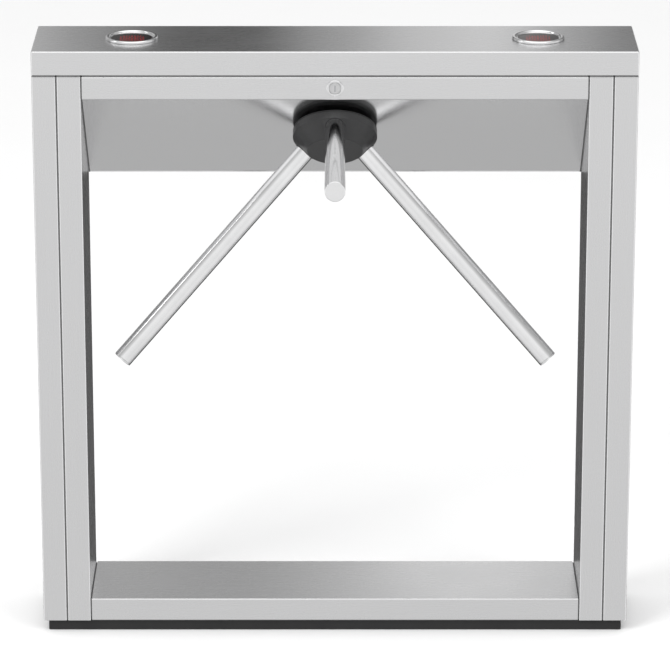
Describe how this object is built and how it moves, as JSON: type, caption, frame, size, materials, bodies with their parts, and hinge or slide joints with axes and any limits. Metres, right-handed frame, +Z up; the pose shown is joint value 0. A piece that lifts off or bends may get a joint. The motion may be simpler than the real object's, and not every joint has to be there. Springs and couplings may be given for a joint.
{
  "type": "visitor counter turnstile",
  "caption": "Waist-high tripod turnstile that counts visitors: portal cabinet, tilted rotor with arms, hinged lid with status displays.",
  "frame": {"origin": "middle of the plinth's underside, on the floor", "axes": "+X along the cabinet to a visitor's right, +Y the way the visitor walks through, away from the horizontal arm, +Z up"},
  "size_m": [1, 0.6481, 1.03],
  "materials": {
    "brushed_panel": "satin, fine grain",
    "plinth_paint": "matt black",
    "polished_steel": "mirror polished",
    "lock_chrome": "satin chrome",
    "hub_plastic": "fine moulded grain",
    "display_glass": "dark tint",
    "circuit_board": "solder mask",
    "machined_steel": "turned and ground",
    "zinc_steel": "zinc plated",
    "cast_aluminium": "as cast",
    "gear_plastic": "moulded",
    "brass": "machined",
    "black_plastic": "moulded",
    "grey_paint": "powder coat"
  },
  "bodies": {
    "cabinet": {"plinth": "plinth_paint", "base_sill": "brushed_panel", "leg_outer_left": "brushed_panel", "leg_outer_right": "brushed_panel", "leg_inner_left": "brushed_panel", "leg_inner_right": "brushed_panel", "header_front_rail": "brushed_panel", "hood_panel": "brushed_panel", "back_cover": "brushed_panel", "hinge_fixed_leaf_left": "machined_steel", "hinge_fixed_leaf_right": "machined_steel", "hinge_pin_left": "machined_steel", "hinge_pin_right": "machined_steel", "lock_housing": "lock_chrome", "lock_nut": "brass", "bearing_housing": "cast_aluminium", "bearing_front": "machined_steel", "bearing_rear": "machined_steel", "mechanism_plate": "zinc_steel", "mechanism_bracket_left": "zinc_steel", "mechanism_bracket_right": "zinc_steel", "rotary_damper": "black_plastic", "encoder_sensor": "black_plastic", "pawl_pin_left": "zinc_steel", "pawl_pin_right": "zinc_steel", "solenoid_left": "zinc_steel", "solenoid_right": "zinc_steel", "control_board": "circuit_board", "power_supply": "grey_paint", "counter_module": "black_plastic"},
    "lid": {"lid": "brushed_panel", "display_bezel_left": "polished_steel", "display_bezel_right": "polished_steel", "display_lens_left": "display_glass", "display_lens_right": "display_glass", "led_board_left": "circuit_board", "led_board_right": "circuit_board", "hinge_lid_leaf_left": "machined_steel", "hinge_lid_leaf_right": "machined_steel", "lid_striker": "zinc_steel"},
    "lock_barrel": {"lock_plug": "lock_chrome", "lock_cam": "zinc_steel"},
    "rotor": {"hub_front": "hub_plastic", "hub_rear": "hub_plastic", "arm_carrier": "cast_aluminium", "arm_front": "polished_steel", "arm_left": "polished_steel", "arm_right": "polished_steel", "arm_cap_front": "polished_steel", "arm_cap_left": "polished_steel", "arm_cap_right": "polished_steel", "main_shaft": "machined_steel", "lock_disc": "machined_steel", "damper_gear": "gear_plastic", "encoder_disc": "black_plastic"},
    "damper_drive": {"damper_pinion": "brass"},
    "left_pawl": {"pawl_left": "machined_steel"},
    "right_pawl": {"pawl_right": "machined_steel"},
    "left_plunger": {"plunger_left": "machined_steel"},
    "right_plunger": {"plunger_right": "machined_steel"}
  },
  "joints": [
    {"name": "rotor_spin", "type": "hinge", "parent": "cabinet", "child": "rotor", "pos_m": [0, -0.0177, 0.8835], "axis": [0, -0.6826, -0.7308], "continuous": true},
    {"name": "damper_spin", "type": "hinge", "parent": "cabinet", "child": "damper_drive", "pos_m": [0, 0.06915, 0.88858], "axis": [0, -0.6826, -0.7308], "continuous": true},
    {"name": "lid_swing", "type": "hinge", "parent": "cabinet", "child": "lid", "pos_m": [0, 0.0938, 0.9835], "axis": [-1, 0, 0], "range_deg": [0, 80]},
    {"name": "lock_turn", "type": "hinge", "parent": "cabinet", "child": "lock_barrel", "pos_m": [0, -0.09, 0.963], "axis": [0, 1, 0], "range_deg": [0, 90]},
    {"name": "pawl_left_swing", "type": "hinge", "parent": "cabinet", "child": "left_pawl", "pos_m": [-0.062, 0.0521, 0.89083], "axis": [0, 0.6826, 0.7308], "range_deg": [0, 8.3], "stiffness_Nm_per_rad": 0.2, "springref_deg": -11.46},
    {"name": "pawl_right_swing", "type": "hinge", "parent": "cabinet", "child": "right_pawl", "pos_m": [0.062, 0.0521, 0.89083], "axis": [0, -0.6826, -0.7308], "range_deg": [0, 8.3], "stiffness_Nm_per_rad": 0.2, "springref_deg": -11.46},
    {"name": "plunger_left_slide", "type": "slide", "parent": "cabinet", "child": "left_plunger", "axis": [1, 0, 0], "range_m": [0, 0.0082]},
    {"name": "plunger_right_slide", "type": "slide", "parent": "cabinet", "child": "right_plunger", "axis": [-1, 0, 0], "range_m": [0, 0.0082]}
  ],
  "couplings": [
    {"joint": "damper_spin", "follows": "rotor_spin", "ratio": -3},
    {"joint": "plunger_left_slide", "follows": "pawl_left_swing", "m_per_rad": 0.056},
    {"joint": "plunger_right_slide", "follows": "pawl_right_swing", "m_per_rad": 0.056}
  ]
}
